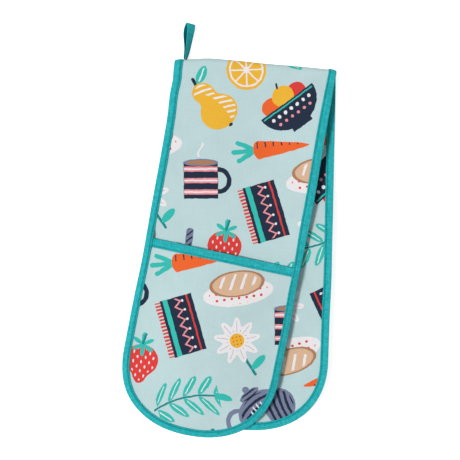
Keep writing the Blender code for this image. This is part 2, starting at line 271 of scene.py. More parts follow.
def stripWadding(half, t, s):
    edge = strip["edgeWadding"]
    full = edge + (strip["wadding"] - edge) * puff(half, t, s, strip["flatRim"])
    return full * rimTaper(edgeDistance(half, t, s))


def stripTop(half, t, s):
    return plainFace(half, t, s) + quiltSkins + stripWadding(half, t, s)


def mouthPuff(past, run=tape["rampPuff"]):
    return smooth((past - tape["mouthLip"] - strip["layerGap"]) / run)


def cavity(half, t, s):
    least = strip["layerGap"] + gapAndTape * (1 - mouthPuff(pastMouth(half, t, s)))
    inside = edgeDistance(half, t, s) - tape["mouthLip"] - strip["layerGap"]
    share, top = np.clip(inside / pocket["cavityRun"], 0, 1), pocket["crownTop"]
    slope = 1 / (1 - top / 2)  # an even slope that rounds off to a level top
    opened = np.where(share < 1 - top, slope * share, 1 - slope * (1 - share) ** 2 / (2 * top))
    return least + (pocket["cavity"] - least) * opened


def pocketLining(half, t, s):
    return stripTop(half, t, s) + cavity(half, t, s)


def pocketWadding(half, t, s):
    past, edge = pastMouth(half, t, s), strip["edgeWadding"]
    middle = pocket["mouthWadding"] + (pocket["wadding"] - pocket["mouthWadding"]) * mouthPuff(past)
    full = edge + (middle - edge) * puff(half, t, s, pocket["flatRim"])
    return full * rimTaper(edgeDistance(half, t, s)) * rimTaper(past)


def pocketTop(half, t, s):
    return pocketLining(half, t, s) + quiltSkins + pocketWadding(half, t, s)


def mouthTape(past):
    # the mouth's tape, which the edge binding wraps too until the pocket has puffed past it
    return gapAndTape * (1 - mouthPuff(past, tape["rampPuff"] / 2))


def stackTop(half, t, s):
    # what the edge binding wraps: the strip, and past the ramp the pocket too
    past = pastMouth(half, t, s)
    ramp = smooth((past + tape["mouthRamp"] + 2 * gapAndTape) / tape["mouthRamp"])
    low = stripTop(half, t, s)
    return low + (pocketTop(half, t, s) - low + mouthTape(past)) * ramp


def bindingLip(half, t, s):
    # the wider the stack that the tape wraps, the less of it lies on either face
    past = pastMouth(half, t, s)
    ramp = smooth((past + tape["narrowing"]) / tape["narrowing"])
    quilt = quiltSkins + strip["edgeWadding"]
    high = quilt + (strip["layerGap"] + quilt + mouthTape(past)) * ramp * tape["narrowShare"]
    wider = tape["widerRight"] * (half is front) * smooth(t / padHalf) * (1 - ramp)
    wider = wider * pastFold(half, t, s) + tape["widerBack"] * (half is back) * ramp
    return (tape["width"] - high - 2 * gapAndTape) / 2 - gapAndTape + wider


def waves(length, phase):
    # uneven ripples from 0 to about 1
    first, second, third = (
        size * np.sin(length * 2 * math.pi / run + share * phase + start)
        for size, run, share, start in puckers["waves"]
    )
    return np.clip(puckers["mean"] + first + second, 0, 1) * (puckers["broadMean"] + third)


def nearSeam(distance):
    away = distance - puckers["start"]
    return smooth(away / puckers["rise"]) * np.exp(-np.maximum(away, 0) / puckers["decay"])


def gathers(half, t, s, phase, mouthToo=False):
    distance = edgeDistance(half, t, s) - bindingLip(half, t, s)
    height = waves(alongEdge(half, t, s), half.phase + phase) * nearSeam(distance)
    height = height * pastFold(half, t, s)
    if mouthToo:
        inside = pastMouth(half, t, s) - tape["mouthLip"]
        across = waves(t + puckers["mouthFrom"], half.phase + phase + puckers["mouthAfter"])
        height = np.maximum(height, across * nearSeam(inside))
    return puckers["height"] * height


# Meshes: shells of cloth between two faces, and tubes of tape
def addObject(name, data):
    thing = bpy.data.objects.new(name, data)
    bpy.context.scene.collection.objects.link(thing)
    return thing


def pointsOf(mesh):
    points = np.empty(len(mesh.vertices) * 3)
    mesh.vertices.foreach_get("co", points)
    return points.reshape(-1, 3)


def layPlan(mesh, plan):
    # the flat pattern of the cloth, a place for each point
    layer = mesh.uv_layers.new(name="clothPlan")
    ofPoint = np.empty(len(mesh.loops), dtype=np.int32)
    mesh.loops.foreach_get("vertex_index", ofPoint)
    layer.uv.foreach_set("vector", np.asarray(plan, dtype=np.float32)[ofPoint].ravel())


def finishPiece(name, points, faces, plan, material, shade=None):
    points = np.asarray(points, dtype=float)
    corners = [points[[face[i] for face in faces if len(face) == 4]] for i in range(4)]
    volume = np.einsum("ij,ij->", corners[0], np.cross(corners[1], corners[2]))
    volume += np.einsum("ij,ij->", corners[0], np.cross(corners[2], corners[3]))
    if volume < 0:
        faces = [face[::-1] for face in faces]
    mesh = bpy.data.meshes.new(name)
    mesh.from_pydata(points.tolist(), [], faces)
    mesh.update()
    layPlan(mesh, plan)
    # painted shade, kept on the points for the tape's material to darken its colour by
    if shade is not None:
        depth = mesh.attributes.new("seamShade", "FLOAT", "POINT")
        depth.data.foreach_set("value", np.asarray(shade, dtype=np.float32).ravel())
    mesh.materials.append(material)
    mesh.shade_smooth()
    mesh.set_sharp_from_angle(angle=strip["sharpAngle"])
    return addObject(name, mesh)


def gridQuads(rows, columns):
    index = np.arange(rows * columns).reshape(rows, columns)
    quads = np.stack([index[:-1, :-1], index[:-1, 1:], index[1:, 1:], index[1:, :-1]], -1)
    return index, quads.reshape(-1, 4)


def shell(name, low, high, plan, material):
    index, quads = gridQuads(*low.shape[:2])
    rim = np.concatenate([index[0], index[1:, -1], index[-1, -2::-1], index[-2:0:-1, 0]])
    after = np.roll(rim, -1)
    walls = np.stack([after, rim, rim + index.size, after + index.size], -1)
    faces = np.concatenate([quads, quads[:, ::-1] + index.size, walls]).tolist()
    points = np.concatenate([low.reshape(-1, 3), high.reshape(-1, 3)])
    return finishPiece(name, points, faces, np.concatenate([plan.reshape(-1, 2)] * 2), material)


def tube(name, rings, plan, material, shade):
    stations, around = rings.shape[:2]
    index = np.arange(stations * around).reshape(stations, around)
    beside = np.roll(index, -1, axis=1)
    quads = np.stack([index[:-1], beside[:-1], beside[1:], index[1:]], -1).reshape(-1, 4)
    faces = quads.tolist() + [index[0][::-1].tolist(), index[-1].tolist()]
    return finishPiece(name, rings.reshape(-1, 3), faces, plan.reshape(-1, 2), material, shade)


def sheetPoint(half, column, row, firstRow):
    # bends a square grid to the strip's outline: skewed at its first row, rounded at the end
    start, middleStart = firstRow(half, column), firstRow(half, 0.0)
    share = (row - middleStart) / (half.roundStart - middleStart)
    straight = start + (half.roundStart - start) * share
    u, a = column / padHalf, np.maximum(row - half.roundStart, 0) / padDepth
    x, y = u * np.sqrt(1 - a * a / 2), a * np.sqrt(1 - u * u / 2)
    power = strip["endSquareness"]
    norm = (np.abs(x) ** power + y**power) ** (1 / power)
    bulge = np.hypot(x, y) / np.maximum(norm, 1e-9)
    ended = row > half.roundStart
    t = np.where(ended, padHalf * x * bulge, column)
    return t, np.where(ended, half.roundStart + padDepth * y * bulge, straight)


def evenSteps(start, end, cell):
    return np.linspace(start, end, max(2, round((end - start) / cell) + 1))


def panelGrid(half, kind, cell):
    firstRow = foldLine if kind == "strip" else mouthLine
    columns = evenSteps(-padHalf, padHalf, cell)
    straight = evenSteps(firstRow(half, 0.0), half.roundStart, cell)
    ended = evenSteps(half.roundStart, half.roundStart + padDepth, cell)
    rows = np.concatenate([straight, ended[1:]])
    t, s = sheetPoint(half, *np.meshgrid(columns, rows), firstRow)
    lift = half.swell[kind](columns, rows) if kind in half.swell else np.zeros_like(t)
    return SimpleNamespace(t=t, s=s, lift=lift, columns=columns, rows=rows)


# Cloth simulation: each panel is let go as a slightly full sheet, sewn down round its rim and
# pushed out by its filling, and only its rise is kept
drape = {
    "cell": 0.0055, "frames": 18, "hold": 0.02, "release": 0.014,
    "quality": 5, "mass": 0.2, "stretch": 12.0, "shear": 6.0, "bend": 0.35,
    "fullness": 0.006, "push": 0.35,
    "riseShare": 0.30, "roomShare": 0.4,
    "strapRise": 0.0006, "pocketRise": 0.0007, "backRise": 0.0004,
    "ripple": 0.00016,
    # two crossed waves: how fast each one runs, how far it bends, and how fast that bend runs
    "waves": ((160, 3, 31), (130, 2, 47)),
}


def roomAt(half, kind, t, s):
    # how far the layers may move, upwards from the plain face where positive
    gap = cavity(half, t, s) - strip["layerGap"] - gapAndTape
    inside = drape["roomShare"] * np.maximum(gap, 0)
    if kind == "pocket":
        if half is front:
            return np.full_like(t, drape["pocketRise"])
        return -np.minimum(inside, drape["backRise"])
    under = smooth(pastMouth(half, t, s) / (2 * tape["mouthRamp"]) + 1)
    strap = drape["strapRise"] if half is front else -drape["backRise"]
    return strap * (1 - under) + np.minimum(inside, drape["strapRise"]) * under


def splineShares(places, count):
    # weights of a smooth curve along evenly spaced values
    base = np.floor(places).astype(int)
    f = places - base
    weights = ((1 - f) ** 3, 3 * f**3 - 6 * f**2 + 4, 1 + 3 * f + 3 * f**2 - 3 * f**3, f**3)
    shares = np.zeros((len(places), count))
    for step, weight in enumerate(weights):
        beside = np.clip(base - 1 + step, 0, count - 1)
        np.add.at(shares, (np.arange(len(places)), beside), weight / 6)
    return shares


def settle(half, kind):
    grid = panelGrid(half, kind, drape["cell"])
    t, s = grid.t, grid.s
    rows, columns = t.shape
    free = edgeDistance(half, t, s) - bindingLip(half, t, s)
    ends = pastMouth(half, t, s) - tape["mouthLip"] if kind == "pocket" else s - foldLine(half, t)
    loose = smooth(np.minimum(free, ends) / drape["release"])
    (runT, bendT, swingS), (runS, bendS, swingT) = drape["waves"]
    ripple = np.sin(t * runT + bendT * np.sin(s * swingS))
    ripple = ripple * np.sin(s * runS + half.phase + bendS * np.sin(t * swingT))
    points = np.stack([t, s, drape["ripple"] * ripple * loose], -1).reshape(-1, 3)
    mesh = bpy.data.meshes.new("settling")
    mesh.from_pydata(points.tolist(), [], gridQuads(rows, columns)[1].tolist())
    sheet = addObject("settling", mesh)
    sewn = sheet.vertex_groups.new(name="sewn")
    for place, share in enumerate((1 - (1 - drape["hold"]) * loose).ravel().tolist()):
        sewn.add([place], share, "REPLACE")
    cloth = sheet.modifiers.new("settle", "CLOTH")
    rules = cloth.settings
    rules.quality, rules.mass = drape["quality"], drape["mass"]
    rules.tension_stiffness = rules.compression_stiffness = drape["stretch"]
    rules.shear_stiffness, rules.bending_stiffness = drape["shear"], drape["bend"]
    rules.shrink_min, rules.vertex_group_mass = -drape["fullness"], "sewn"
    rules.use_pressure, rules.uniform_pressure_force = True, drape["push"]
    rules.effector_weights.gravity = 0
    cloth.collision_settings.use_collision = False
    cloth.point_cache.frame_start, cloth.point_cache.frame_end = 1, drape["frames"]
    for moment in range(1, drape["frames"] + 1):
        bpy.context.scene.frame_set(moment)
    settled = sheet.evaluated_get(bpy.context.evaluated_depsgraph_get()).to_mesh()
    rise = pointsOf(settled).reshape(rows, columns, 3)[..., 2] * loose
    bpy.data.objects.remove(sheet)
    bpy.data.meshes.remove(mesh)
    bpy.context.scene.frame_set(1)
    room = roomAt(half, kind, t, s)
    rise = drape["riseShare"] * np.maximum(rise, 0)
    lift = room * np.tanh(rise / np.maximum(np.abs(room), 1e-6))

    def swell(atColumns, atRows):
        down = splineShares(np.interp(atRows, grid.rows, np.arange(rows)), rows)
        over = splineShares(np.interp(atColumns, grid.columns, np.arange(columns)), columns)
        return down @ lift @ over.T

    half.swell[kind] = swell
    highest = round(float(np.abs(lift).max()) * 1000, 2)
    print(half.name, kind, "settled, highest lift", highest, "mm")


for half in (back, front):
    for kind in ("strip", "pocket"):
        settle(half, kind)


# Nodes: an input is linked where its value is a socket or a Field, and else takes the value itself
def plug(tree, node, inputs):
    for place, value in inputs.items() if isinstance(inputs, dict) else enumerate(inputs):
        value = getattr(value, "socket", value)
        if isinstance(value, bpy.types.NodeSocket):
            tree.links.new(value, node.inputs[place])
        else:
            node.inputs[place].default_value = value


def addNode(tree, kind, inputs=(), **settings):
    node = tree.nodes.new(kind)
    for name, value in settings.items():
        setattr(node, name, value)
    plug(tree, node, inputs)
    return node.outputs


class Field:
    # a number that Math nodes work out at each point of the cloth
    def __init__(self, tree, socket):
        self.tree, self.socket = tree, socket

    def using(self, operation, *others, clamp=False):
        made = addNode(
            self.tree, "ShaderNodeMath", (self, *others), operation=operation, use_clamp=clamp,
        )
        return Field(self.tree, made[0])

    def __add__(self, other):
        return self.using("ADD", other)

    def __sub__(self, other):
        return self.using("SUBTRACT", other)

    def __mul__(self, other):
        return self.using("MULTIPLY", other)

    def __neg__(self):
        return self.using("MULTIPLY", -1.0)

    def __abs__(self):
        return self.using("ABSOLUTE")

    def times(self, factor, more):
        return self.using("MULTIPLY_ADD", factor, more)

    def bounce(self, span):
        return self.using("PINGPONG", span)


def fieldsOf(tree, vector):
    return [Field(tree, socket) for socket in addNode(tree, "ShaderNodeSeparateXYZ", [vector])][:2]


def vectorMath(tree, operation, *values):
    return addNode(tree, "ShaderNodeVectorMath", values, operation=operation)[0]


def mixInks(tree, factor, first, second):
    return addNode(tree, "ShaderNodeMix", {0: factor, 6: first, 7: second}, data_type="RGBA")[2]


def least(first, *others):
    for other in others:
        first = first.using("MINIMUM", other)
    return first


def most(first, *others):
    for other in others:
        first = first.using("MAXIMUM", other)
    return first


# Inks of the print, from the eye's own values to the shader's
def ink(red, green, blue):
    def linear(value):
        value = value / 255
        return value / 12.92 if value <= 0.04045 else ((value + 0.055) / 1.055) ** 2.4

    return (linear(red), linear(green), linear(blue), 1.0)


printInks = {
    "ground": ink(193, 218, 220), "slate": ink(122, 130, 158), "navy": ink(36, 48, 68),
    "mustard": ink(240, 184, 58), "teal": ink(56, 192, 180), "deepTeal": ink(28, 140, 140),
    "red": ink(222, 66, 62), "orange": ink(240, 104, 48), "pink": ink(240, 150, 158),
    "white": ink(240, 236, 238), "tan": ink(222, 184, 152), "brown": ink(176, 128, 96),
}


# Signed distances in millimetres, negative inside
def reachOf(x, y):
    return x.times(x, y * y).using("SQRT")


def oval(x, y, cx, cy, a, b):
    return reachOf(x.times(1 / a, -cx / a), y.times(1 / b, -cy / b)).times(min(a, b), -min(a, b))


def ringOf(shape, half):
    return abs(shape) - half


def bar(x, y, fromX, fromY, toX, toY, radius):
    dx, dy = toX - fromX, toY - fromY
    span = dx * dx + dy * dy
    share = x.times(dx / span, -(fromX * dx + fromY * dy) / span)
    share = y.times(dy / span, share).using("ADD", 0.0, clamp=True)
    return reachOf(share.times(-dx, x - fromX), share.times(-dy, y - fromY)) - radius


def box(x, y, cx, cy, a, b):
    return most(abs(x - cx) - a, abs(y - cy) - b)


def stripes(value, period, share):
    return value.bounce(period / 2) - period * share / 2


def turned(x, y, degrees):
    c, s = math.cos(math.radians(degrees)), math.sin(math.radians(degrees))
    return x.times(c, y * s), x.times(-s, y * c)


class Brush:
    # lays inks on the cloth one over another
    def __init__(self, tree, colour, edge):
        self.tree, self.colour, self.edge = tree, colour, edge

    def paint(self, distance, name):
        factor = distance.using("MULTIPLY_ADD", -1 / self.edge, 0.5, clamp=True)
        self.colour = mixInks(self.tree, factor, self.colour, printInks[name])


# The motifs, each about its own middle, y upwards
def drawTeapot(paint, x, y):
    body = oval(x, y, 0, -3, 23, 18)
    spout = bar(x, y, 16, -8, 34, 10, 3.6)
    handle = ringOf(oval(x, y, -24, -1, 11, 12), 2.1)
    lid = oval(x, y, 0, 15.5, 11, 4.2)
    paint(least(body, spout, handle, lid, oval(x, y, 0, 21.5, 3.4, 3.4)), "slate")
    paint(most(stripes(y + x * x * 0.012, 6.4, 0.42), body + 2.2), "navy")
    paint(most(stripes(x, 4.2, 0.3), oval(x, y, 0, -4, 11, 8)), "white")
    paint(most(stripes(y, 4.4, 0.35), least(spout, lid) + 0.6), "navy")


def drawPear(paint, x, y):
    body = oval(x, y, 0, -9, 19, 17).using("SMOOTH_MIN", oval(x, y, 1, 14, 10, 13), 9.0)
    paint(bar(x, y, 1, 25, 4, 34, 1.3), "navy")
    leafX, leafY = turned(x - 12, y - 31, 25)
    leaf = oval(leafX, leafY, 0, 0, 9.5, 4.2)
    paint(leaf, "teal")
    paint(most(abs(leafY) - 0.6, leaf + 1), "white")
    paint(body, "mustard")
    side = most(stripes(x.times(0.35, y + x * x * 0.010), 6.2, 0.36), body + 1.5)
    paint(most(side, -oval(x, y, -6, -8, 12, 26)), "white")
    paint(oval(x, y, 0, -26.5, 2.2, 1.4), "navy")


def drawFruitBowl(paint, x, y):
    paint(oval(x, y, -15, 9, 10, 9.5), "orange")
    paint(oval(x, y, 14, 8, 9.5, 9), "red")
    paint(oval(x, y, 0, 12, 11, 10.5), "mustard")
    paint(bar(x, y, 0, 22, 2, 26, 1.0), "navy")
    bowl = most(oval(x, y, 0, 5, 31, 27), y - 5)
    paint(least(bowl, box(x, y, 0, -21.5, 11, 2.6)), "navy")
    dotX = x.bounce(3.5)
    paint(most(oval(dotX, y, 0, -3, 1.7, 1.9), abs(x) - 25), "white")
    paint(most(oval(dotX, y, 3.5, -10, 1.5, 1.6), abs(x) - 19), "pink")
    paint(most(abs(y - 2.6) - 0.7, abs(x) - 29), "teal")


def drawSprig(paint, x, y):
    x = x + y * y * -0.006
    paint(most(abs(x) - 1.0, abs(y) - 34), "deepTeal")
    rung = (y + abs(x) * -0.75 + 40).using("MODULO", 15.0) - 7.5
    leaf = most(oval(abs(x), rung, 10.5, 0, 9.5, 4.4), abs(y - 1) - 31)
    paint(leaf, "teal")
    paint(most(abs(rung) - 0.55, leaf + 1.2), "white")
    paint(oval(x, y, 0, 36, 3.8, 8), "teal")


def drawStrawberry(paint, x, y):
    body = oval(x, y, 0, 2, 17, 15).using("SMOOTH_MIN", oval(x, y, 0, -13, 6, 8), 10.0)
    paint(body, "red")
    seed = x.bounce(4.0), y.bounce(4.5)
    seeds = least(oval(*seed, 0, 0, 0.8, 1.5), oval(*seed, 4, 4.5, 0.8, 1.5))
    paint(most(seeds, body + 2), "white")
    crown = y - 17
    leaves = (crown.using("ARCTAN2", x) * 6.0).using("COSINE") * 4.2
    paint(reachOf(x, crown) - 7.5 + leaves, "teal")
    paint(bar(x, y, 0, 18, 2, 27, 1.2), "deepTeal")


def drawCarrot(paint, x, y):
    for toX, toY in ((-9, 36), (0, 40), (9, 35)):
        paint(bar(x, y, 0, 18, toX, toY, 2.3), "teal")
    width = y.times(1 / 54, 0.66).using("ADD", 0.0, clamp=True)
    root = most(abs(x) - width.using("POWER", 0.7) * 9.5, abs(y) - 35)
    root = least(most(root, y - 15), oval(x, y, 0, 15, 9.2, 5.5))
    paint(root, "orange")
    paint(most(stripes(y, 8.0, 0.16), root + 0.6, -oval(x, y, -5, 0, 7, 60)), "navy")


def drawMug(paint, x, y):
    paint(ringOf(oval(x, y, 18, -3, 10, 11), 2.2), "navy")
    cup = box(x, y, 0, -3, 17.0, 18.0)
    paint(cup, "navy")
    paint(most(stripes(y + 3, 11.5, 0.44), cup + 0.4), "pink")
    paint(most(stripes(y + 3, 11.5, 0.13), cup + 0.4), "white")
    paint(oval(x, y, 0, 15, 17.4, 3.6), "slate")
    paint(oval(x, y, 0, 15, 14.8, 2.4), "brown")
    swung = x + (y * 0.33).using("SINE") * 2.4
    paint(most(swung.bounce(4.5) - 0.9, abs(swung) - 7, abs(y - 28) - 7), "white")


def drawLoaf(paint, x, y):
    cloth = oval(x, y, 0, -9, 38, 14)
    paint(cloth, "white")
    paint(most(oval(x.bounce(4.0), y.bounce(3.6), 0, 0, 1.5, 1.4), cloth + 2.2), "red")
    loaf = oval(x, y, 0, 1, 30, 14)
    paint(loaf, "brown")
    paint(loaf + 1.6, "tan")
    paint(most(stripes(x + y * -0.5 + 6, 12.0, 0.26), oval(x, y, 0, 3, 22, 8.5)), "white")


def drawDaisy(paint, x, y):
    paint(bar(x, y, 3, -14, 12, -36, 1.4), "deepTeal")
    leafX, leafY = turned(x - 17, y + 25, 35)
    paint(oval(leafX, leafY, 0, 0, 9, 3.8), "teal")
    turn, reach = y.using("ARCTAN2", x) * 9.0, reachOf(x, y)
    petals = turn.using("COSINE").times(-4.4, reach - 18.5)
    paint(petals, "white")
    paint(most(abs(turn.using("SINE")) * reach - 1.6, petals + 3.4, -reach + 9), "slate")
    paint(reach - 7.2, "mustard")
    paint(most(oval(x.bounce(1.8), y.bounce(1.8), 0, 0, 0.7, 0.7), reach - 5.6), "red")


def drawCitrus(paint, x, y):
    turn, reach = y.using("ARCTAN2", x) * 4.0, reachOf(x, y)
    paint(reach - 21, "mustard")
    paint(reach - 18.2, "white")
    gap = abs(turn.using("SINE")) * (reach * 0.25) - 0.75
    paint(most(reach - 16.4, -gap, -reach + 1.6), "mustard")


def drawAubergine(paint, x, y):
    body = oval(x, y, -2, -12, 16, 17).using("SMOOTH_MIN", oval(x, y, 3, 12, 9, 14), 8.0)
    paint(body, "slate")
    paint(most(stripes(x + y * 0.28 + y * y * 0.008, 6.0, 0.45), body + 2), "navy")
    paint(most(oval(x, y, 4, 24, 10.5, 7), -oval(x, y, 4, 14, 7.5, 8)), "teal")
    paint(bar(x, y, 4, 28, 9, 37, 2.0), "deepTeal")


def drawTeaTowel(paint, x, y):
    paint(most(stripes(x, 3.6, 0.6), box(x, y, 0, -18.5, 29, 4.0)), "red")
    paint(box(x, y, 0, 0, 30, 17), "navy")
    paint(most(abs(y + 11.5) - 2.6, abs(x) - 30), "teal")
    paint(most(abs(y - 11.8) - 0.9, abs(x) - 30), "red")
    swung = x.bounce(5.0)
    paint(most(abs(swung * 1.3 - y - 2.6) - 1.2, box(x, y, 0, 0, 28.5, 16)), "pink")
    paint(most(oval(swung, y, 5, 6.2, 1.3, 1.3), abs(x) - 28), "white")


kitchenPrint = {
    "repeat": (206.0, 284.0), "scale": 1.18,
    "perMetre": 1000,  # the motifs are drawn in millimetres
    "wobble": 1.7, "wobbleScale": 0.16, "wobbleDetail": 2.0, "edge": 0.35,
    "motifs": [  # drawing, middle across and up, turn in degrees, size
        (drawTeapot, 36, 49, 48, 1.0),
        (drawCitrus, 84, 2, 57, 0.95),
        (drawSprig, 157, 45, -67, 1.0),
        (drawStrawberry, 97, 75, 4, 1.0),
        (drawTeaTowel, 137, 126, -63, 0.95),
        (drawDaisy, 202, 120, 22, 1.0),
        (drawMug, 55, 151, 11, 1.0),
        (drawCarrot, 133, 201, 107, 1.0),
        (drawLoaf, 190, 184, 19, 0.92),
        (drawPear, 54, 238, 53, 1.0),
        (drawFruitBowl, 142, 253, 46, 1.0),
        (drawAubergine, 198, 251, 18, 1.0),
    ],
}


def makePrint(settings):
    tree = bpy.data.node_groups.new("kitchenPrint", "ShaderNodeTree")
    tree.interface.new_socket("Place", in_out="INPUT", socket_type="NodeSocketVector")
    tree.interface.new_socket("Colour", in_out="OUTPUT", socket_type="NodeSocketColor")
    place = addNode(tree, "NodeGroupInput")["Place"]
    noise = addNode(tree, "ShaderNodeTexNoise", {
        "Vector": place, "Scale": settings["wobbleScale"], "Detail": settings["wobbleDetail"],
    })
    wobbled = vectorMath(tree, "MULTIPLY_ADD", noise["Color"], (settings["wobble"],) * 3, place)
    ground = addNode(tree, "ShaderNodeRGB")[0]
    ground.default_value = printInks["ground"]
    brush = Brush(tree, ground, settings["edge"])
    wide, tall = settings["repeat"]
    for draw, across, up, turn, size in settings["motifs"]:
        centred = vectorMath(tree, "SUBTRACT", wobbled, (across, up, 0))
        ends = (wide / 2, tall / 2, 1), (-wide / 2, -tall / 2, -1)
        wrapped = vectorMath(tree, "WRAP", centred, *ends)
        turner = addNode(tree, "ShaderNodeMapping", {
            "Vector": wrapped, "Rotation": (0, 0, math.radians(-turn)),
            "Scale": (1 / size / settings["scale"],) * 3,
        })
        draw(brush.paint, *fieldsOf(tree, turner[0]))
    addNode(tree, "NodeGroupOutput", {"Colour": brush.colour})
    print("print drawn with", len(tree.nodes), "nodes")
    return tree


# Materials: thread, streak, run and mottle are sizes in metres
fineStreaks = {"streak": 0.0007, "run": 0.017, "mottle": 0.036}
weaves = {
    "sheen": 0.04, "sheenRough": 0.5, "gloss": 0.10,
    "streaks": {"Scale": 1.0, "Detail": 2.0, "Roughness": 0.6},
    "mottling": {"Detail": 3.0, "Roughness": 0.55},
    "noiseMean": 1.5,  # of the three noises together
    "castDepth": 0.8, "castRough": 0.06, "relief": 0.6, "reliefDistance": 1.0,
    "print": {
        "thread": 0.00055, "depth": 0.00007, "slub": 0.13, "rough": 0.86,
        "streak": 0.0010, "run": 0.020, "mottle": 0.036,
    },
    "lining": {
        "ink": ink(232, 224, 208), "thread": 0.0007, "depth": 0.00008, "slub": 0.08, "rough": 0.9,
        **fineStreaks,
    },
    "tape": {
        # the deeper ink serves both the tape's dye streaks and its painted shade
        "ink": ink(53, 194, 200), "deepInk": ink(5, 148, 152), "deepShare": 0.36, "seamDepth": 1.4,
        "seamTone": 0.30, "thread": 0.00062, "depth": 0.00010, "slub": 1.15, "rough": 0.80,
        "streak": 0.0015, "run": 0.013, "mottle": 0.0042,
    },
    "thread": {
        "ink": ink(14, 150, 155), "thread": 0.0005, "depth": 0.00006, "slub": 0.08, "rough": 0.6,
        **fineStreaks,
    },
    "fill": {
        "ink": ink(238, 238, 234), "thread": 0.0030, "depth": 0.0002, "slub": 0.06, "rough": 0.96,
        **fineStreaks,
    },
}


def startMaterial(name, inputs):
    material = bpy.data.materials.new(name)
    material.use_nodes = True
    shader = material.node_tree.nodes["Principled BSDF"]
    plug(material.node_tree, shader, inputs)
    return material, material.node_tree, shader


def printAt(tree, plan, offset):
    place = addNode(tree, "ShaderNodeMapping", {
        "Vector": plan, "Scale": (kitchenPrint["perMetre"],) * 3, "Location": (*offset, 0),
    })
    return addNode(tree, "ShaderNodeGroup", {"Place": place[0]}, node_tree=kitchenGroup)["Colour"]


def makeCloth(name, look, printFrom=None):
    # plain weave: raised threads both ways, and a few thicker and paler ones
    material, tree, shader = startMaterial(name, {
        "Roughness": look["rough"], "Sheen Weight": weaves["sheen"],
        "Sheen Roughness": weaves["sheenRough"], "Specular IOR Level": weaves["gloss"],
    })
    plan = addNode(tree, "ShaderNodeUVMap", uv_map="clothPlan")[0]
    warp, weft = ((way * (math.pi / look["thread"])).using("SINE") for way in fieldsOf(tree, plan))
    height = abs(warp * weft).using("SQRT")

    def noiseAt(place, inputs):
        return Field(tree, addNode(tree, "ShaderNodeTexNoise", {"Vector": place, **inputs})["Fac"])

    def streaksAlong(*stretch):
        return noiseAt(vectorMath(tree, "MULTIPLY", plan, (*stretch, 1.0)), weaves["streaks"])

    fine, long = 1 / look["streak"], 1 / look["run"]
    streaks = streaksAlong(fine, long) + streaksAlong(long, fine)
    mottling = noiseAt(plan, {"Scale": 1 / look["mottle"], **weaves["mottling"]})
    cast = streaks + mottling - weaves["noiseMean"]
    if "deepInk" in look:  # streaks of a deeper dye, and painted shade along the stitching, at the tape's lips and on the loop's inner face
        seam = Field(tree, addNode(tree, "ShaderNodeAttribute", attribute_name="seamShade")["Fac"])
        streakAndShade = seam.times(look["seamDepth"], cast * -look["slub"])
        streakAndShade = streakAndShade.using("ADD", look["deepShare"], clamp=True)
        colour = mixInks(tree, streakAndShade, look["ink"], look["deepInk"])
        # the painted shade also darkens the whole colour
        tone = seam.times(-look["seamTone"], 1.0)
    else:
        colour = printAt(tree, plan, printFrom) if printFrom else look["ink"][:3]
        tone = cast.times(look["slub"], 1.0)
    shaded = addNode(tree, "ShaderNodeVectorMath", {0: colour, "Scale": tone}, operation="SCALE")
    bump = addNode(tree, "ShaderNodeBump", {
        "Strength": weaves["relief"], "Distance": weaves["reliefDistance"],
        "Height": height.times(look["depth"], cast * (look["depth"] * weaves["castDepth"])),
    })
    rough = cast.times(weaves["castRough"], look["rough"])
    plug(tree, shader, {"Base Color": shaded[0], "Normal": bump[0], "Roughness": rough})
    return material


kitchenGroup = makePrint(kitchenPrint)
outerPrint = makeCloth("outerPrint", weaves["print"], (96.0, 300.0))
innerPrint = makeCloth("innerPrint", weaves["print"], (30.0, 120.0))
frontPocketPrint = makeCloth("frontPocketPrint", weaves["print"], (166.0, 448.0))
backPocketPrint = makeCloth("backPocketPrint", weaves["print"], (12.0, 210.0))
creamLining = makeCloth("creamLining", weaves["lining"])
tealTape = makeCloth("tealTape", weaves["tape"])
tealThread = makeCloth("tealThread", weaves["thread"])
whiteFill = makeCloth("whiteFill", weaves["fill"])
print("materials made")


# Cloths and wadding
bendRadius = {
    "outer": fold["innerRadius"] + strapHeight - strip["cloth"] / 2,
    "inner": fold["innerRadius"] + strip["cloth"] / 2,
}


def planOf(half, t, s, face):
    # flat pattern in metres, running on round the fold
    along = -half.side * (s + math.pi / 2 * bendRadius[face])
    return np.stack([t if face == "outer" else -t, along], axis=-1)


def planOfBend(t, turns, face):
    hand = 1 if face == "outer" else -1
    ease = fold["seam"] / 2 * (1 - 2 * turns / math.pi)
    along = t * math.tan(strip["fan"]) + ease + (math.pi / 2 - turns) * bendRadius[face]
    return np.stack(np.broadcast_arrays(hand * t, along), -1)


def replaceNode(piece):
    # each piece is named after its node: frontInnerCloth is front_inner_cloth
    node = "".join("_" + letter.lower() if letter.isupper() else letter for letter in piece.name)
    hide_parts(node)


def innerFaces(half, t, s, lift):
    gathered = gathers(half, t, s, puckers["innerCloth"]) * puckers["innerShare"]
    low = plainFace(half, t, s) + lift - gathered
    return low, low + strip["cloth"]


def outerFaces(half, t, s, lift):
    bare = 1 - smooth((pastMouth(half, t, s) + puckers["bareFrom"]) / puckers["bareRun"])
    top = stripTop(half, t, s) + lift + gathers(half, t, s, puckers["outerCloth"]) * bare
    return top - strip["cloth"], top


def pocketFaces(half, t, s, lift):
    gathered = gathers(half, t, s, puckers["pocketCloth"], mouthToo=True)
    top = pocketTop(half, t, s) + lift + gathered
    return top - strip["cloth"], top


def liningFaces(half, t, s, lift):
    low = pocketLining(half, t, s) + lift
    return low, low + strip["cloth"]


def stripFillFaces(half, t, s, lift):
    low = plainFace(half, t, s) + lift + strip["cloth"] + strip["layerGap"]
    return low, low + stripWadding(half, t, s)


def pocketFillFaces(half, t, s, lift):
    low = pocketLining(half, t, s) + lift + strip["cloth"] + strip["layerGap"]
    return low, low + pocketWadding(half, t, s)


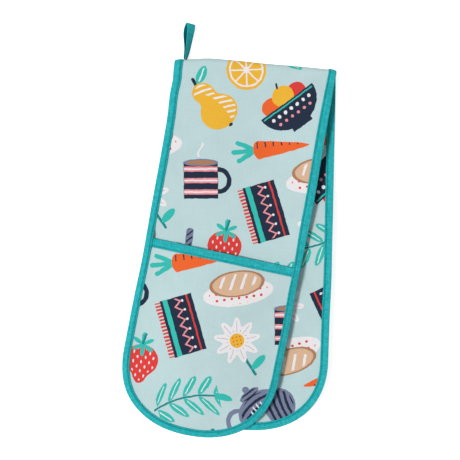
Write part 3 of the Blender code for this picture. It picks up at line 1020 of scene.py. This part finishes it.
def makePanels(half, pocketPrint):
    cell, fillCell, panels = strip["cell"], strip["waddingCell"], {}
    for kind, part, faces, size, material, slotName in (
        ("strip", "InnerCloth", innerFaces, cell, innerPrint, "printed_cotton"),
        ("strip", "OuterCloth", outerFaces, cell, outerPrint, "printed_cotton"),
        ("strip", "Wadding", stripFillFaces, fillCell, whiteFill, "wadding"),
        ("pocket", "PocketCloth", pocketFaces, cell, pocketPrint, "printed_cotton"),
        ("pocket", "PocketLining", liningFaces, strip["hiddenCell"], creamLining, "lining_cotton"),
        ("pocket", "PocketWadding", pocketFillFaces, fillCell, whiteFill, "wadding"),
    ):
        grid = panelGrid(half, kind, size)
        spot = half, grid.t, grid.s
        low, high = (world(*spot, n) for n in faces(*spot, grid.lift))
        plan = planOf(*spot, "inner" if part == "InnerCloth" else "outer")
        piece = panels[part] = shell(half.name + part, low, high, plan, material)
        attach(piece, half.body)
        replaceNode(piece)
    return panels


# Bindings: a tape folded round the edge of the stack
lipShares = np.array([1.0, 0.97, 0.92, 0.86, 0.81, 0.765, 0.72, 0.67, 0.60, 0.48, 0.34, 0.18, 0.0])
insideShares = [0, 4, 8, 10, 12]  # the tape's inside has fewer points, by their place above


def roundRim(lowEdge, highEdge):
    middle, half = (lowEdge + highEdge) / 2, (highEdge - lowEdge) / 2
    turns = np.linspace(-math.pi / 2, math.pi / 2, tape["rimPoints"] + 2)[1:-1]
    power = 2 / tape["rimSquareness"]
    x = -gapAndTape * np.abs(np.cos(turns)) ** power
    lift = np.sign(np.sin(turns)) * np.abs(np.sin(turns)) ** power
    return x, middle[..., None] + half[..., None] * lift


def tapeSection(lip, lowAt, highAt, ripple, seamShade):
    # lip is one number a station; lowAt and highAt give the stack's faces at a distance in
    inward = lip[:, None] * lipShares
    low, high = lowAt(inward), highAt(inward)
    fromLip = lip[:, None] - inward
    seam = hump(fromLip - tape["stitchInset"], tape["grooveWidth"])
    bevel = tape["bevel"] * (1 - smooth(fromLip / tape["bevelRun"]))
    slack = smooth((fromLip - tape["stitchInset"]) / tape["slackFrom"])
    slack = slack * smooth(inward / tape["slackTo"])
    inset = gapAndTape - tape["groove"] * seam - bevel + ripple[:, None] * slack
    outerLow, outerHigh = low - inset, high + inset
    rimX, rimN = roundRim(outerLow[:, -1], outerHigh[:, -1])
    gap, inner = strip["layerGap"] * tape["insideGapShare"], inward[:, insideShares]
    innerLow, innerHigh = low[:, insideShares] - gap, high[:, insideShares] + gap
    # painted shade along the stitch groove, with its needle holes, and at the lip, where the tape
    # meets the cloth
    face = seamShade * seam + tape["lipShade"] * (1 - smooth(fromLip / tape["lipShadeRun"]))
    return (np.concatenate(parts, axis=1) for parts in (
        [inward, np.broadcast_to(rimX, rimN.shape), inward[:, ::-1], inner, inner[:, ::-1]],
        [outerLow, rimN, outerHigh[:, ::-1], innerHigh, innerLow[:, ::-1]],
        [face, 0 * rimN, face[:, ::-1], 0 * inner, 0 * inner],
    ))


def makeBinding(name, half, lip, ripple, run, place, faces, laid=None, seamShade=tape["seamShade"]):
    # place gives where on the half a distance in lies, and laid where that is in space
    def heightOf(face):
        return lambda inward: face(half, *place(inward))

    if laid is None:
        def laid(inward, n):
            return world(half, *place(inward), n)

    lowAt, highAt = map(heightOf, faces)
    x, n, shade = tapeSection(lip, lowAt, highAt, ripple, seamShade)
    rings = laid(x, n)
    across = np.linspace(0, tape["width"] * 2, x.shape[1])
    plan = np.stack(np.broadcast_arrays(across, run[:, None]), -1)
    piece = tube(name, rings, plan, tealTape, np.broadcast_to(shade, rings.shape[:2]))
    # the two stitch lines, on the pocket side and on the plain side
    seat = (lip - tape["stitchInset"])[:, None]
    depth = gapAndTape - tape["groove"] * tape["threadSink"]
    return piece, [laid(seat, highAt(seat) + depth)[:, 0], laid(seat, lowAt(seat) - depth)[:, 0]]


def rimStations(half):
    start = foldLine(half, -padHalf)
    left = evenSteps(start, half.roundStart, tape["station"])
    end = foldLine(half, padHalf)
    right = evenSteps(end, half.roundStart, tape["station"])[::-1]
    turns = np.linspace(0, math.pi, strip["rimSamples"])
    power = 2 / strip["endSquareness"]
    t = -padHalf * np.sign(np.cos(turns)) * np.abs(np.cos(turns)) ** power
    s = half.roundStart + padDepth * np.abs(np.sin(turns)) ** power
    run = np.concatenate([[0], np.cumsum(np.hypot(np.diff(t), np.diff(s)))])
    even = evenSteps(0, run[-1], tape["station"])[1:-1]
    t, s = np.interp(even, run, t), np.interp(even, run, s)
    edgeT = np.concatenate([np.full(len(left), -padHalf), t, np.full(len(right), padHalf)])
    edgeS = np.concatenate([left, s, right])
    outT, outS = np.sign(edgeT), np.zeros_like(edgeT)
    ended = edgeS > half.roundStart
    x, y = edgeT[ended] / padHalf, (edgeS[ended] - half.roundStart) / padDepth
    slopeT = np.sign(x) * np.abs(x) ** (strip["endSquareness"] - 1) / padHalf
    slopeS = y ** (strip["endSquareness"] - 1) / padDepth
    size = np.hypot(slopeT, slopeS)
    outT[ended], outS[ended] = slopeT / size, slopeS / size
    length = np.concatenate([[0], np.cumsum(np.hypot(np.diff(edgeT), np.diff(edgeS)))])
    return SimpleNamespace(t=edgeT, s=edgeS, outT=outT, outS=outS, length=length)


def makeEdgeBinding(half):
    rim = rimStations(half)
    rimT, rimS = rim.t[:, None], rim.s[:, None]
    nearFold = 1 - smooth((rimS - foldLine(half, rimT)) / fold["square"])

    def place(inward):
        t, s = rimT - inward * rim.outT[:, None], rimS - inward * rim.outS[:, None]
        return t, s + (t - rimT) * math.tan(half.fan) * nearFold

    ripple = waves(rim.length, half.phase + puckers["edgeTape"]) - tape["puckerMean"]
    ripple = tape["pucker"] * ripple * pastFold(half, rim.t, rim.s)
    piece, lines = makeBinding(
        half.name + "EdgeBinding", half, bindingLip(half, rim.t, rim.s), ripple, rim.length, place,
        (plainFace, stackTop),
    )
    return piece, lines, rim.length[-1]


def makeMouthBinding(half):
    t = evenSteps(-padHalf, padHalf, tape["station"])

    def place(inward):
        return t[:, None] + np.zeros_like(inward), mouthLine(half, t)[:, None] + inward

    ripple = waves(t + puckers["mouthFrom"], half.phase + puckers["mouthTape"]) - tape["puckerMean"]
    ripple = tape["pucker"] * ripple
    piece, lines = makeBinding(
        half.name + "MouthBinding", half, np.full(len(t), tape["mouthLip"]), ripple, t, place,
        (pocketLining, pocketTop), seamShade=tape["mouthSeamShade"],
    )
    return piece, [line[3:-3] for line in lines]


# The bend at the fold
def bendPlace(t, turn, n):
    # the strip's outer corners round off where they turn over
    radius = fold["innerRadius"] + n
    square = smooth((strip["width"] / 2 - np.abs(t)) / fold["cornerRun"])
    reach = 1 - fold["cornerRound"] * (1 - square)
    x, y = layCorner(t / math.cos(strip["fan"]), -fold["seam"] / 2)
    y = y + (fold["seam"] + radius * reach) * np.sin(turn)
    return placed(x, y, foldHeight - radius * np.cos(turn))


def blendFold(piece):
    # works out the crease's two heights, which nothing uses, and bakes the piece's placing into its
    # points
    foldHeight - fold["crease"]
    foldHeight + fold["crease"]
    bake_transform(piece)


def makeBend():
    turns = np.linspace(0, math.pi, fold["turns"] + 1)[:, None]
    t = evenSteps(-padHalf, padHalf, strip["cell"])[None, :]
    s = foldLine(back, t)
    base, top = plainFace(back, t, s), stripTop(back, t, s)
    cloth, gap = strip["cloth"], strip["layerGap"]
    pieces, lines = {}, []
    for name, low, high, material, face, slotName in (
        ("foldInnerCloth", base, base + cloth, innerPrint, "inner", "printed_cotton"),
        ("foldWadding", base + cloth + gap, top - cloth - gap, whiteFill, "outer", "wadding"),
        ("foldOuterCloth", top - cloth, top, outerPrint, "outer", "printed_cotton"),
    ):
        low, high = bendPlace(t, turns, low), bendPlace(t, turns, high)
        pieces[name] = shell(name, low, high, planOfBend(t, turns, face), material)
        blendFold(pieces[name])
        replaceNode(pieces[name])
    for name, hand in (("foldLeftBinding", -1), ("foldRightBinding", 1)):
        edge = np.array([hand * padHalf])
        start = foldLine(back, edge)
        pieces[name], more = makeBinding(
            name, back, bindingLip(back, edge, start), np.zeros(1), turns[:, 0] * fold["tapePlan"],
            lambda inward: (hand * (padHalf - inward), start[:, None]), (plainFace, stackTop),
            lambda inward, n: bendPlace(hand * (padHalf - inward), turns, n),
        )
        blendFold(pieces[name])
        replaceNode(pieces[name])
        lines += more
    return pieces, lines


# The hanging loop
loop = {
    "width": 0.0107, "thickness": 0.0012, "reach": 0.0420, "eye": 0.0120, "rootInset": 0.0110,
    "lean": math.radians(2.7), "rise": 0.0010, "bow": 0.0006, "fullness": 2.2, "tipSlant": 0.14,
    "tipTwist": math.radians(8), "rootTwist": math.radians(71),
    "twistEase": 0.45, "twistEnd": 1.004,
    "rootTurn": math.radians(10), "rootTurnPower": 5, "stations": 150, "aimStep": 0.4,
    "stitchInset": 0.0012, "stitchSeat": 0.72, "lightTip": 0.1,
    # two folds of tape: a rounded fold on one side, and a stitched pair of edges on the other
    "across": (-1.0, -0.94, -0.8, -0.4, 0, 0.4, 0.62, 0.72, 0.80, 0.9, 0.97, 1.0),
    "height": (0.0, 0.75, 1.0, 1.0, 1.0, 1.0, 0.98, 0.66, 0.66, 0.98, 0.8, 0.35),
}


def loopRoot():
    t = loop["rootInset"] - strip["width"] / 2
    height = float(stripTop(back, np.array(t - loop["thickness"]), np.array(0.0)))
    apex = bendPlace(np.array(t), np.array(math.pi / 2), np.array(height))
    return np.array([apex[0], apex[1] + 2 * strip["layerGap"], foldHeight])


def loopReach(share):
    return (1 - np.cos(2 * math.pi * share)) / 2


def loopLine(root, share):
    reach = loopReach(share)
    spread = (loop["eye"] + loop["thickness"]) / 2 * np.sin(2 * math.pi * share)
    spread = spread * reach ** loop["fullness"]
    spread = spread + (loop["thickness"] + strip["layerGap"]) / 2 * np.cos(math.pi * share)
    eased = (loop["twistEnd"] - reach) ** loop["twistEase"]
    twist = loop["tipTwist"] + (loop["rootTwist"] - loop["tipTwist"]) * eased
    twist = twist + loop["rootTurn"] * (1 - reach) ** loop["rootTurnPower"]
    out = np.stack([np.sin(twist), np.zeros_like(twist), np.cos(twist)], -1)
    forward = np.array([math.sin(loop["lean"]), math.cos(loop["lean"]), 0.0]) * loop["reach"]
    forward[2] = loop["rise"]
    place = root + forward * reach[:, None] + out * spread[:, None]
    place[:, 0] += loop["bow"] * np.sin(2 * math.pi * reach)
    return place, twist


def unit(vectors):
    return vectors / np.linalg.norm(vectors, axis=-1, keepdims=True)


def makeLoop():
    share = np.linspace(0, 1, loop["stations"] + 1)
    reach, step = loopReach(share), loop["aimStep"] / loop["stations"]
    centre, twist = loopLine(loopRoot(), share)
    after = loopLine(loopRoot(), np.minimum(share + step, 1))[0]
    before = loopLine(loopRoot(), np.maximum(share - step, 0))[0]
    along = unit(after - before)
    sideways = np.stack([np.cos(twist), np.zeros_like(twist), -np.sin(twist)], -1)
    face = unit(np.cross(along, sideways))
    across = np.cross(face, along)
    half, thick = loop["width"] / 2, loop["thickness"] / 2
    u, h = np.array(loop["across"]), np.array(loop["height"])
    ringU = np.concatenate([u, u[::-1][:-1]]) * half
    ringH = np.concatenate([h, -h[::-1][:-1]]) * thick
    rings = centre[:, None] + across[:, None] * ringU[:, None] + face[:, None] * ringH[:, None]
    rings[..., 1] -= loop["tipSlant"] * ringU * (reach**3)[:, None]  # the tip lies a little aslant
    run = np.concatenate([[0], np.cumsum(np.linalg.norm(np.diff(centre, axis=0), axis=1))])
    plan = np.stack(np.broadcast_arrays(ringU * 2, run[:, None]), -1)
    # painted shade on the loop's inner face, which lies in the shade of the other strand, fading
    # out over the tip
    tip = smooth((reach - (1 - loop["lightTip"])) / loop["lightTip"])
    piece = tube("hangingLoop", rings, plan, tealTape, (ringH > 0) * (1 - tip)[:, None])
    seam = centre + across * (half - loop["stitchInset"])
    return piece, [(seam + face * side * thick * loop["stitchSeat"])[3:-3] for side in (-1, 1)]


# Stitches, laid along lines by Geometry Nodes
stitches = {
    "pitch": 0.0030, "length": 0.0023, "thickness": 0.00030, "tilt": math.radians(7), "seed": 5,
    "thread": tealThread, "around": 8, "rings": 5,
}
loopStitches = {**stitches, "pitch": 0.0024, "length": 0.0018}


def makeStitchTree():
    tree = bpy.data.node_groups.new("stitchRun", "GeometryNodeTree")
    for name, kind in (
        ("line", "Geometry"), ("pitch", "Float"), ("length", "Float"), ("thickness", "Float"),
        ("tilt", "Float"), ("seed", "Int"), ("thread", "Material"),
    ):
        tree.interface.new_socket(name, in_out="INPUT", socket_type="NodeSocket" + kind)
    tree.interface.new_socket("stitches", in_out="OUTPUT", socket_type="NodeSocketGeometry")

    def add(kind, inputs=(), output=0, **settings):
        return addNode(tree, kind, inputs, **settings)[output]

    given = addNode(tree, "NodeGroupInput")
    thickness, tilt = given["thickness"], Field(tree, given["tilt"])
    spots = {"Curve": given["line"], "Length": given["pitch"]}
    spots = add("GeometryNodeResampleCurve", spots, mode="LENGTH")
    bead = add("GeometryNodeMeshUVSphere", {
        "Segments": stitches["around"], "Rings": stitches["rings"], "Radius": 1.0,
    })
    size = add("ShaderNodeCombineXYZ", [thickness, thickness, Field(tree, given["length"]) * 0.5])
    stitch = add("GeometryNodeTransform", {"Geometry": bead, "Scale": size})
    tangent = add("GeometryNodeInputTangent")
    aim = add("FunctionNodeAlignRotationToVector", {"Vector": tangent}, axis="Z")
    tilted = add(
        "FunctionNodeRandomValue", {2: -tilt, 3: tilt, "Seed": given["seed"]}, 1, data_type="FLOAT",
    )
    lean = add("ShaderNodeCombineXYZ", [tilted, tilted])
    turn = {"Rotation": aim, "Rotate By": lean}
    turn = add("FunctionNodeRotateRotation", turn, rotation_space="LOCAL")
    row = {"Points": spots, "Instance": stitch, "Rotation": turn}
    row = add("GeometryNodeInstanceOnPoints", row)
    row = add("GeometryNodeSetShadeSmooth", [add("GeometryNodeRealizeInstances", [row])])
    row = add("GeometryNodeSetMaterial", {"Geometry": row, "Material": given["thread"]})
    addNode(tree, "NodeGroupOutput", [row])
    return tree


stitchTree = makeStitchTree()


def sewLines(name, lines, settings):
    curve = bpy.data.curves.new(name + "Lines", "CURVE")
    curve.dimensions = "3D"
    for line in lines:
        spline = curve.splines.new("POLY")
        spline.points.add(len(line) - 1)
        spline.points.foreach_set("co", np.insert(line, 3, 1.0, axis=1).ravel())
    guide = addObject(name + "Lines", curve)
    modifier = guide.modifiers.new("stitchRun", "NODES")
    modifier.node_group = stitchTree
    for item in stitchTree.interface.items_tree:
        if item.item_type == "SOCKET" and item.in_out == "INPUT" and item.name in settings:
            modifier[item.identifier] = settings[item.name]
    bpy.context.view_layer.update()
    graph = bpy.context.evaluated_depsgraph_get()
    mesh = bpy.data.meshes.new_from_object(guide.evaluated_get(graph))
    bpy.data.objects.remove(guide)
    bpy.data.curves.remove(curve)
    layPlan(mesh, pointsOf(mesh)[:, :2])  # each thread's own plan, by where it lies
    piece = addObject(name, mesh)
    return piece


# Making the glove
for half, pocketPrint in ((back, backPocketPrint), (front, frontPocketPrint)):
    half.panels = makePanels(half, pocketPrint)
    half.edge, edgeLines, half.edgeLength = makeEdgeBinding(half)
    half.mouthEdge, mouthLines = makeMouthBinding(half)
    thread = sewLines(half.name + "Stitches", edgeLines + mouthLines, stitches)
    for piece in (half.edge, half.mouthEdge, thread):
        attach(piece, half.body)
    for piece in (half.edge, half.mouthEdge):
        replaceNode(piece)
    print(half.name, "half made")

bendPieces, bendLines = makeBend()
blendFold(sewLines("foldStitches", bendLines, stitches))
print("fold made")

hanger, hangerLines = makeLoop()
hangerThread = sewLines("hangingLoopStitches", hangerLines, loopStitches)
for piece in (hanger, hangerThread):
    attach(piece, "loop")
    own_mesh(piece)
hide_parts("hanging_loop")
print("loop made")


math.pi * bendRadius["outer"]

# Floor, light and camera
studio = {
    "floorSize": 6.0, "floorDrop": 0.0003, "glow": 0.74, "worldStrength": 0.33,
    "keyPower": 2.29, "keySpread": math.radians(13), "keyFrom": (-1.0, -0.15, 1.72),
    "floor": {"Base Color": (0.80, 0.80, 0.80, 1), "Roughness": 0.9, "Specular IOR Level": 0.0},
}
shot = {"at": (-0.01155, 0.00171, 1.3), "roll": math.radians(6.207), "lens": 85.43, "sensor": 36.0}


def seenStraight(tree):
    # 1 where the camera looks, straight or by way of a gloss, and 0 where light is gathered
    rays = addNode(tree, "ShaderNodeLightPath")
    names = ("Is Camera Ray", "Is Glossy Ray", "Is Transmission Ray")
    return most(*(Field(tree, rays[name]) for name in names))


def makeFloor():
    half, drop = studio["floorSize"] / 2, -studio["floorDrop"]
    mesh = bpy.data.meshes.new("studioFloor")
    corners = [(-half, -half, drop), (half, -half, drop), (half, half, drop), (-half, half, drop)]
    mesh.from_pydata(corners, [], [(0, 1, 2, 3)])
    material, tree, shader = startMaterial("paleFloor", studio["floor"])
    strength = seenStraight(tree) * studio["glow"]
    glow = addNode(tree, "ShaderNodeEmission", {"Color": (1, 1, 1, 1), "Strength": strength})
    both = addNode(tree, "ShaderNodeAddShader", [shader.outputs[0], glow[0]])
    plug(tree, tree.nodes["Material Output"], {"Surface": both[0]})
    mesh.materials.append(material)
    addObject("studioFloor", mesh)


def lightStudio():
    sky = bpy.data.worlds.new("studioWorld")
    bpy.context.scene.world = sky
    sky.use_nodes = True
    tree, dim = sky.node_tree, studio["worldStrength"]
    strength = seenStraight(tree).times(1 - dim, dim)
    plug(tree, tree.nodes["Background"], {"Color": (1, 1, 1, 1), "Strength": strength})
    key = bpy.data.lights.new("softKey", "SUN")
    key.angle, key.energy = studio["keySpread"], studio["keyPower"]
    aim = (-Vector(studio["keyFrom"])).to_track_quat("-Z", "Y")
    addObject("softKey", key).rotation_euler = aim.to_euler()


def makeCamera():
    camera = bpy.data.cameras.new("photoCamera")
    camera.lens, camera.sensor_width = shot["lens"], shot["sensor"]
    camera.dof.use_dof = False
    viewer = addObject("photoCamera", camera)
    viewer.location = shot["at"]
    viewer.rotation_euler = (0, 0, shot["roll"])
    bpy.context.scene.camera = viewer


makeFloor()
lightStudio()
makeCamera()
bpy.context.scene.view_settings.view_transform = "Standard"
print("studio ready")
